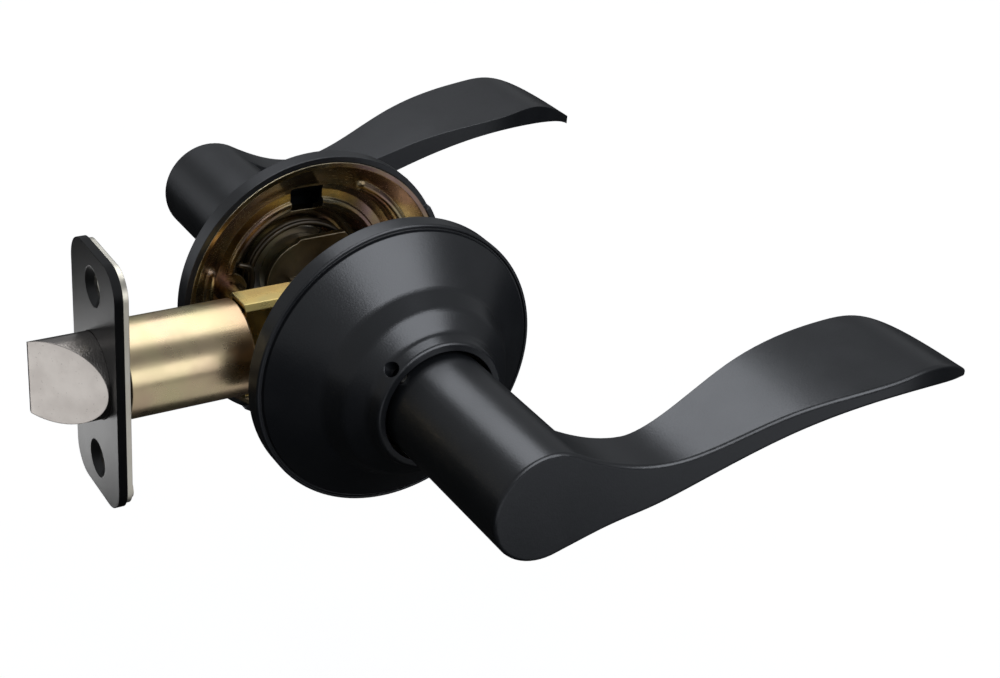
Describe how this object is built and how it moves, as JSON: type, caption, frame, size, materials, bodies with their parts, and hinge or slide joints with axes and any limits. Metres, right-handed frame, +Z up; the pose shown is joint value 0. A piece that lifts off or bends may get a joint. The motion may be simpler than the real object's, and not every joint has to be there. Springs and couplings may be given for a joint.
{
  "type": "lever handle lockset",
  "caption": "Passage lever lockset: two wave levers on round roses, joined by a spindle through a tubular spring latch with a rectangular faceplate.",
  "frame": {"origin": "on the spindle's axis, at the middle of the door's thickness", "axes": "+Z up; the spindle runs along Y, with the front side of the lock at -Y; the latch bolt points to -X and the levers to +X"},
  "size_m": [0.1827, 0.1844, 0.0666],
  "materials": {
    "lever_black": "satin black plated zinc casting",
    "rose_black": "satin black plated stamping",
    "face_black": "satin black plated steel",
    "yellow_zinc": "yellow iridescent zinc plating",
    "dark_steel": "oiled dark spring steel",
    "hub_zinc": "zinc die casting, yellow passivated",
    "pale_zinc": "pale zinc plated steel",
    "tube_gold": "satin pale gold zinc plating",
    "case_brass": "brass coloured zinc plating",
    "satin_nickel": "satin nickel plated zinc casting",
    "bright_steel": "bright zinc plated steel"
  },
  "bodies": {
    "chassis": {"front_rose": "rose_black", "front_mounting_plate": "yellow_zinc", "front_hub_bushing": "bright_steel", "front_return_spring": "dark_steel", "back_rose": "rose_black", "back_mounting_plate": "yellow_zinc", "back_hub_bushing": "bright_steel", "back_return_spring": "dark_steel", "threaded_posts": "yellow_zinc", "mounting_screws": "bright_steel", "latch_faceplate": "face_black", "latch_backing_plate": "pale_zinc", "latch_tube": "tube_gold", "latch_spring_seat": "bright_steel", "latch_bolt_spring": "dark_steel", "latch_tail_case": "case_brass"},
    "front_handle": {"front_lever": "lever_black", "front_lever_hub": "hub_zinc", "front_snap_ring": "dark_steel", "front_catch_spring": "dark_steel"},
    "back_handle": {"back_lever": "lever_black", "back_lever_hub": "hub_zinc", "back_snap_ring": "dark_steel", "back_catch_spring": "dark_steel", "spindle": "bright_steel"},
    "front_catch": {"front_lever_catch": "bright_steel"},
    "back_catch": {"back_lever_catch": "bright_steel"},
    "cam": {"latch_cam": "hub_zinc"},
    "retractor": {"latch_retractor": "bright_steel", "latch_retractor_pins": "bright_steel"},
    "bolt": {"latch_bolt": "satin_nickel"}
  },
  "joints": [
    {"name": "front_handle_turn", "type": "hinge", "parent": "chassis", "child": "front_handle", "pos_m": [0, -0.0605, 0], "axis": [0, 1, 0], "range_deg": [0, 62], "stiffness_Nm_per_rad": 0.35, "springref_deg": -14.32, "deforming": ["front_return_spring", "latch_bolt_spring"]},
    {"name": "back_handle_turn", "type": "hinge", "parent": "chassis", "child": "back_handle", "pos_m": [0, 0.0605, 0], "axis": [0, 1, 0], "range_deg": [0, 62], "deforming": ["back_return_spring"]},
    {"name": "cam_turn", "type": "hinge", "parent": "chassis", "child": "cam", "pos_m": [0, 0, 0], "axis": [0, 1, 0], "range_deg": [0, 62]},
    {"name": "retractor_slide", "type": "slide", "parent": "chassis", "child": "retractor", "axis": [1, 0, 0], "range_m": [0, 0.0127]},
    {"name": "bolt_slide", "type": "slide", "parent": "chassis", "child": "bolt", "axis": [1, 0, 0], "range_m": [0, 0.0127]},
    {"name": "front_catch_press", "type": "slide", "parent": "front_handle", "child": "front_catch", "axis": [0.7314, 0, -0.682], "range_m": [0, 0.003], "stiffness_N_per_m": 300, "springref_m": -0.001, "deforming": ["front_catch_spring"]},
    {"name": "back_catch_press", "type": "slide", "parent": "back_handle", "child": "back_catch", "axis": [0.7314, 0, -0.682], "range_m": [0, 0.003], "stiffness_N_per_m": 300, "springref_m": -0.001, "deforming": ["back_catch_spring"]}
  ],
  "couplings": [
    {"joint": "back_handle_turn", "follows": "front_handle_turn", "ratio": 1},
    {"joint": "cam_turn", "follows": "front_handle_turn", "ratio": 1},
    {"joint": "retractor_slide", "follows": "front_handle_turn", "m_per_rad": 0.011736},
    {"joint": "bolt_slide", "follows": "front_handle_turn", "m_per_rad": 0.011736}
  ]
}
